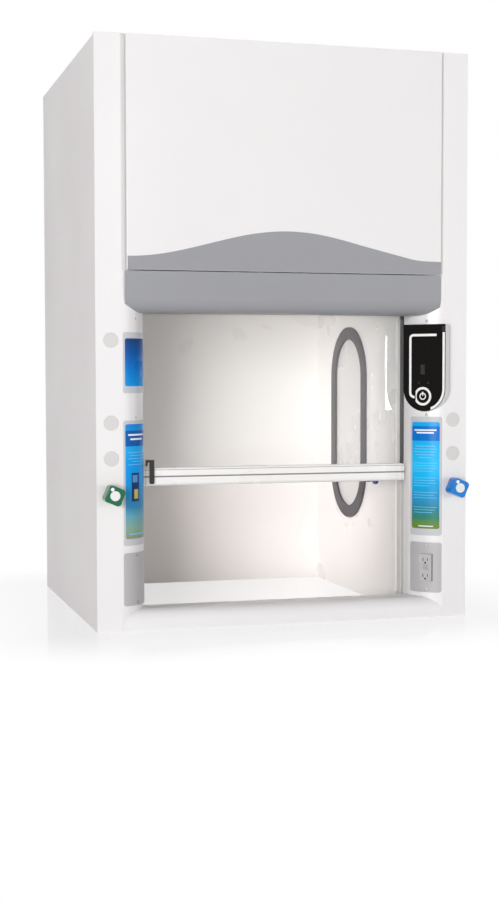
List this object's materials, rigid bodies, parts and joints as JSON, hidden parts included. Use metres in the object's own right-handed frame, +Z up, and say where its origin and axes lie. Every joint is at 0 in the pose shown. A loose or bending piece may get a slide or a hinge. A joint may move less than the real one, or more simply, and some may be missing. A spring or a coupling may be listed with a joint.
{
  "type": "benchtop fume hood",
  "caption": "White benchtop fume hood with a counterbalanced glass sash, bowed corner posts, rounded sill, service valve knobs, receptacle, touch control panel and a filtered fan above.",
  "frame": {"origin": "centre of the footprint, on the bench", "axes": "+X to the right seen from the front, +Y towards the back, +Z up"},
  "size_m": [0.9144, 0.853, 1.366],
  "materials": {
    "post_paint": "semi-gloss powder coat",
    "case_paint": "semi-gloss powder coat",
    "panel_paint": "semi-gloss powder coat",
    "wave_grey": "satin grey film",
    "header_grey": "satin grey",
    "zinc_steel": "zinc plated",
    "liner_white": "satin resin panel",
    "gasket_grey": "matt moulded rubber",
    "lens_white": "opal diffuser",
    "filter_card": "non-woven medium in a card frame",
    "carbon_case": "filled plastic cassette",
    "fan_alloy": "mill finish",
    "motor_case": "black enamel",
    "plug_grey": "satin moulded",
    "knob_green": "glossy moulded",
    "knob_blue": "glossy moulded",
    "cap_white": "glossy moulded",
    "valve_brass": "machined",
    "barb_green": "glossy collar on a tapered nozzle",
    "barb_blue": "glossy collar on a tapered nozzle",
    "upper_plate": "plate with a printed blue field",
    "decal_plate": "plate with a printed colour field",
    "plate_steel": "satin",
    "screw_steel": "plated",
    "socket_grey": "glossy moulded",
    "test_key_black": "glossy moulded",
    "reset_key_grey": "glossy moulded",
    "control_white": "glossy moulded",
    "control_black": "glossy black with white line work",
    "key_black": "glossy black with a power symbol",
    "pane_glass": "clear safety glass",
    "handle_white": "white powder coat",
    "rail_white": "white powder coat",
    "glide_grey": "low-friction plastic",
    "latch_black": "satin moulded",
    "track_white": "white powder coat",
    "pulley_plastic": "acetal",
    "cable_steel": "stranded",
    "weight_steel": "black enamel"
  },
  "bodies": {
    "hood": {"left_corner_post": "post_paint", "right_corner_post": "post_paint", "left_side_panel": "case_paint", "right_side_panel": "case_paint", "back_panel": "case_paint", "top_panel": "case_paint", "front_panel": "panel_paint", "wave_film": "wave_grey", "cross_rails": "zinc_steel", "header": "header_grey", "sill": "post_paint", "left_liner": "liner_white", "right_liner": "liner_white", "rear_liner": "liner_white", "service_covers": "liner_white", "cover_gaskets": "gasket_grey", "ceiling": "liner_white", "light_lens": "lens_white", "light_housing": "zinc_steel", "prefilter": "filter_card", "carbon_filter": "carbon_case", "fan_deck": "zinc_steel", "fan_motor": "motor_case", "motor_bridge": "zinc_steel", "hole_plugs": "plug_grey", "service_valves": "valve_brass", "left_hose_barb": "barb_green", "right_hose_barb": "barb_blue", "left_upper_plate": "upper_plate", "left_decal_plate": "decal_plate", "right_decal_plate": "decal_plate", "left_blank_plate": "plate_steel", "outlet_plate": "plate_steel", "face_screws": "screw_steel", "receptacle": "socket_grey", "outlet_box": "zinc_steel", "control_housing": "control_white", "control_glass": "control_black", "sash_tracks": "track_white", "pulley_beams": "zinc_steel", "pulley_pins": "screw_steel", "front_cables": "cable_steel", "rear_cables": "cable_steel", "top_cables": "cable_steel"},
    "sash": {"sash_glass": "pane_glass", "sash_handle": "handle_white", "sash_top_rail": "rail_white", "sash_glides": "glide_grey"},
    "latch": {"sash_latch": "latch_black"},
    "weight": {"counterweight": "weight_steel"},
    "front_pulley_pair": {"front_pulleys": "pulley_plastic"},
    "rear_pulley_pair": {"rear_pulleys": "pulley_plastic"},
    "fan_wheel": {"impeller": "fan_alloy"},
    "left_valve_knob": {"left_knob": "knob_green", "left_knob_cap": "cap_white"},
    "right_valve_knob": {"right_knob": "knob_blue", "right_knob_cap": "cap_white"},
    "power_button": {"power_key": "key_black"},
    "test_button": {"test_key": "test_key_black"},
    "reset_button": {"reset_key": "reset_key_grey"}
  },
  "joints": [
    {"name": "sash_slide", "type": "slide", "parent": "hood", "child": "sash", "axis": [0, 0, 1], "range_m": [-0.277, 0.316], "deforming": ["front_cables"]},
    {"name": "weight_slide", "type": "slide", "parent": "hood", "child": "weight", "axis": [0, 0, 1], "range_m": [-0.316, 0.277], "deforming": ["rear_cables"]},
    {"name": "front_pulley_turn", "type": "hinge", "parent": "hood", "child": "front_pulley_pair", "pos_m": [0, -0.24235, 1.318], "axis": [1, 0, 0], "range_deg": [-745, 655]},
    {"name": "rear_pulley_turn", "type": "hinge", "parent": "hood", "child": "rear_pulley_pair", "pos_m": [0, 0.387, 1.318], "axis": [1, 0, 0], "range_deg": [-745, 655]},
    {"name": "latch_pivot", "type": "hinge", "parent": "sash", "child": "latch", "pos_m": [-0.3105, -0.2925, 0.343], "axis": [0, 1, 0], "range_deg": [0, 60]},
    {"name": "fan_spin", "type": "hinge", "parent": "hood", "child": "fan_wheel", "pos_m": [0, 0.1115, 1.02], "axis": [0, 0, 1], "continuous": true},
    {"name": "left_valve_turn", "type": "hinge", "parent": "hood", "child": "left_valve_knob", "pos_m": [-0.4225, -0.3785, 0.318], "axis": [0, -1, 0], "range_deg": [0, 720]},
    {"name": "right_valve_turn", "type": "hinge", "parent": "hood", "child": "right_valve_knob", "pos_m": [0.4225, -0.3785, 0.318], "axis": [0, -1, 0], "range_deg": [0, 720]},
    {"name": "power_press", "type": "slide", "parent": "hood", "child": "power_button", "axis": [0.7336, 0.6796, 0], "range_m": [0, 0.0008], "stiffness_N_per_m": 600},
    {"name": "test_press", "type": "slide", "parent": "hood", "child": "test_button", "axis": [0.7336, 0.6796, 0], "range_m": [0, 0.001], "stiffness_N_per_m": 500},
    {"name": "reset_press", "type": "slide", "parent": "hood", "child": "reset_button", "axis": [0.7336, 0.6796, 0], "range_m": [0, 0.001], "stiffness_N_per_m": 500}
  ],
  "couplings": [
    {"joint": "weight_slide", "follows": "sash_slide", "ratio": -1},
    {"joint": "front_pulley_turn", "follows": "sash_slide", "rad_per_m": -40.816},
    {"joint": "rear_pulley_turn", "follows": "sash_slide", "rad_per_m": -40.816}
  ]
}
